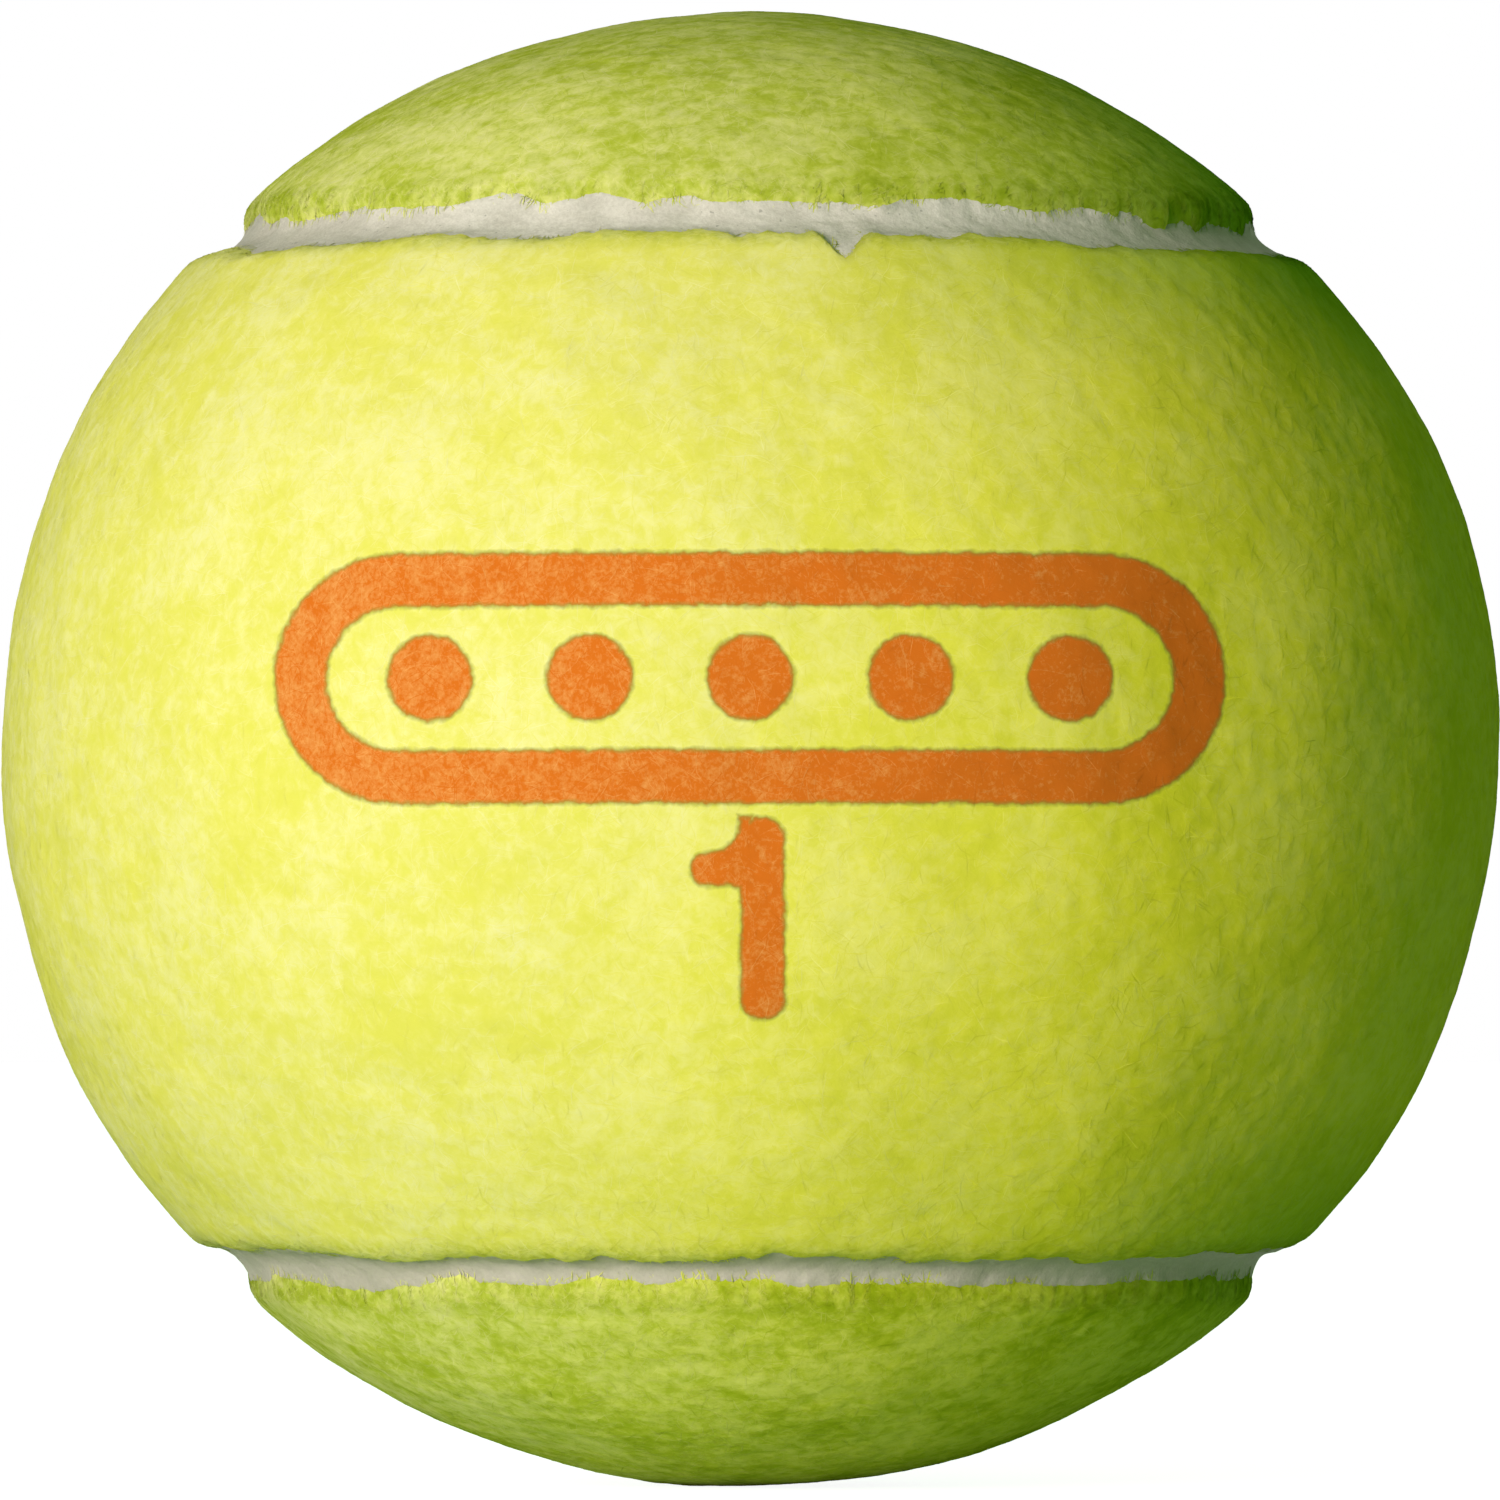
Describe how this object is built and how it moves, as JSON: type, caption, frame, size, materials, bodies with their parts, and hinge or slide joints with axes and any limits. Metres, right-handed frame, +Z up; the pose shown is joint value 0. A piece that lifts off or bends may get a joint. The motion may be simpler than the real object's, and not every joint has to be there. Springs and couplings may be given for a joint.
{
  "type": "tennis ball",
  "caption": "Hollow rubber ball covered by two interlocking dumbbell panels of napped felt, with a recessed pale seam that winds right round it.",
  "frame": {"origin": "centre of the ball", "axes": "+Z up and +X to the right of the pictured face, which looks along -Y; Y is the axis about which a quarter turn and a flip carry one panel onto the other"},
  "size_m": [0.067, 0.067, 0.067],
  "materials": {
    "felt_nap": "raised, fulled nap of fine fibres, matt",
    "felt_weave": "close woven ground cloth",
    "seam_cement": "cured rubber cement, matt, slightly lumpy",
    "coat_cement": "brushed rubber cement, matt",
    "joint_cement": "cured rubber cement, satin",
    "core_rubber": "moulded rubber, buffed outside"
  },
  "bodies": {
    "root": {"core_half_upper": "core_rubber", "core_half_lower": "core_rubber", "core_joint_cement": "joint_cement", "core_cement_coat": "coat_cement", "panel_front_cement": "coat_cement", "panel_back_cement": "coat_cement", "panel_front_weave": "felt_weave", "panel_back_weave": "felt_weave", "panel_front_nap": "felt_nap", "panel_back_nap": "felt_nap", "seam_cement": "seam_cement"}
  },
  "joints": []
}
